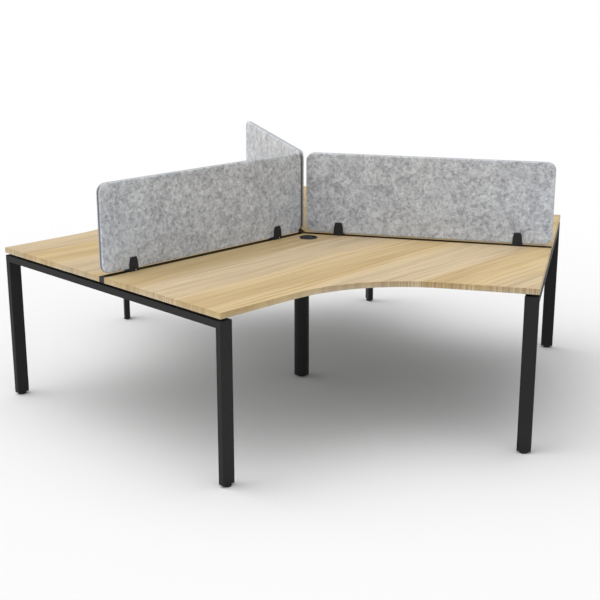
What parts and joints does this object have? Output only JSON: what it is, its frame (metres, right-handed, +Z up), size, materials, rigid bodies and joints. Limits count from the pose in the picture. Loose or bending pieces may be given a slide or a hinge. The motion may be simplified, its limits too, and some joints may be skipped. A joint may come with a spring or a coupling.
{
  "type": "desk cluster",
  "caption": "Open desk cluster with light oak worktops set at 120 degrees round a hub, black tube end frames, a round leg near the hub and grey felt desk screens over the spines.",
  "frame": {"origin": "middle of the footprint, on the floor", "axes": "+Z up; +X to the right along the cluster's width; the front desk's user sits at -Y and the back spine points to +Y"},
  "size_m": [2.8354, 2.4556, 1.122],
  "materials": {
    "oak_board": "matt light oak grain foil on chipboard",
    "oak_band": "matt light oak edge band",
    "black_powder_coat": "satin black powder coat",
    "black_plastic": "fine-grained black",
    "black_rubber": "matt black",
    "grey_felt": "mottled pressed felt",
    "zinc_steel": "zinc plated"
  },
  "bodies": {
    "frame": {"worktop_front": "oak_board", "edge_band_front": "oak_band", "grommet_liner_front": "black_plastic", "worktop_rear_left": "oak_board", "edge_band_rear_left": "oak_band", "grommet_liner_rear_left": "black_plastic", "worktop_rear_right": "oak_board", "edge_band_rear_right": "oak_band", "grommet_liner_rear_right": "black_plastic", "end_rail_back": "black_powder_coat", "spine_beam_back": "black_powder_coat", "rail_spacers_back": "black_powder_coat", "cross_bearers_back": "black_powder_coat", "gap_cover_back": "black_plastic", "screen_back": "grey_felt", "screen_bracket_back_inner": "black_plastic", "screen_bracket_back_outer": "black_plastic", "leg_back_left": "black_powder_coat", "leg_back_right": "black_powder_coat", "end_rail_left": "black_powder_coat", "spine_beam_left": "black_powder_coat", "rail_spacers_left": "black_powder_coat", "cross_bearers_left": "black_powder_coat", "gap_cover_left": "black_plastic", "screen_left": "grey_felt", "screen_bracket_left_inner": "black_plastic", "screen_bracket_left_outer": "black_plastic", "leg_left_front": "black_powder_coat", "leg_left_rear": "black_powder_coat", "end_rail_right": "black_powder_coat", "spine_beam_right": "black_powder_coat", "rail_spacers_right": "black_powder_coat", "cross_bearers_right": "black_powder_coat", "gap_cover_right": "black_plastic", "screen_right": "grey_felt", "screen_bracket_right_inner": "black_plastic", "screen_bracket_right_outer": "black_plastic", "leg_right_rear": "black_powder_coat", "leg_right_front": "black_powder_coat", "leg_caps": "black_plastic", "centre_leg": "black_powder_coat", "centre_leg_cap": "black_plastic", "hub_plate": "black_powder_coat", "beam_end_plates": "black_powder_coat", "clamp_plates": "zinc_steel", "clamp_bolts": "zinc_steel", "worktop_screws": "zinc_steel", "frame_bolts": "zinc_steel", "grip_screws": "zinc_steel"},
    "grommet_cap_front": {"grommet_cap_front": "black_plastic"},
    "grommet_cap_rear_left": {"grommet_cap_rear_left": "black_plastic"},
    "grommet_cap_rear_right": {"grommet_cap_rear_right": "black_plastic"},
    "glide_back_left": {"glide_back_left": "black_rubber"},
    "glide_back_right": {"glide_back_right": "black_rubber"},
    "glide_left_front": {"glide_left_front": "black_rubber"},
    "glide_left_rear": {"glide_left_rear": "black_rubber"},
    "glide_right_rear": {"glide_right_rear": "black_rubber"},
    "glide_right_front": {"glide_right_front": "black_rubber"},
    "glide_centre": {"glide_centre": "black_rubber"}
  },
  "joints": [
    {"name": "grommet_cap_front_turn", "type": "hinge", "parent": "frame", "child": "grommet_cap_front", "pos_m": [0, -0.08521, 0.725], "axis": [0, 0, 1], "continuous": true},
    {"name": "grommet_cap_rear_left_turn", "type": "hinge", "parent": "frame", "child": "grommet_cap_rear_left", "pos_m": [-0.09786, 0.08429, 0.725], "axis": [0, 0, 1], "continuous": true},
    {"name": "grommet_cap_rear_right_turn", "type": "hinge", "parent": "frame", "child": "grommet_cap_rear_right", "pos_m": [0.09786, 0.08429, 0.725], "axis": [0, 0, 1], "continuous": true},
    {"name": "glide_back_left_screw_out", "type": "slide", "parent": "frame", "child": "glide_back_left", "axis": [0, 0, -1], "range_m": [0, 0.015]},
    {"name": "glide_back_right_screw_out", "type": "slide", "parent": "frame", "child": "glide_back_right", "axis": [0, 0, -1], "range_m": [0, 0.015]},
    {"name": "glide_left_front_screw_out", "type": "slide", "parent": "frame", "child": "glide_left_front", "axis": [0, 0, -1], "range_m": [0, 0.015]},
    {"name": "glide_left_rear_screw_out", "type": "slide", "parent": "frame", "child": "glide_left_rear", "axis": [0, 0, -1], "range_m": [0, 0.015]},
    {"name": "glide_right_rear_screw_out", "type": "slide", "parent": "frame", "child": "glide_right_rear", "axis": [0, 0, -1], "range_m": [0, 0.015]},
    {"name": "glide_right_front_screw_out", "type": "slide", "parent": "frame", "child": "glide_right_front", "axis": [0, 0, -1], "range_m": [0, 0.015]},
    {"name": "glide_centre_screw_out", "type": "slide", "parent": "frame", "child": "glide_centre", "axis": [0, 0, -1], "range_m": [0, 0.015]}
  ]
}
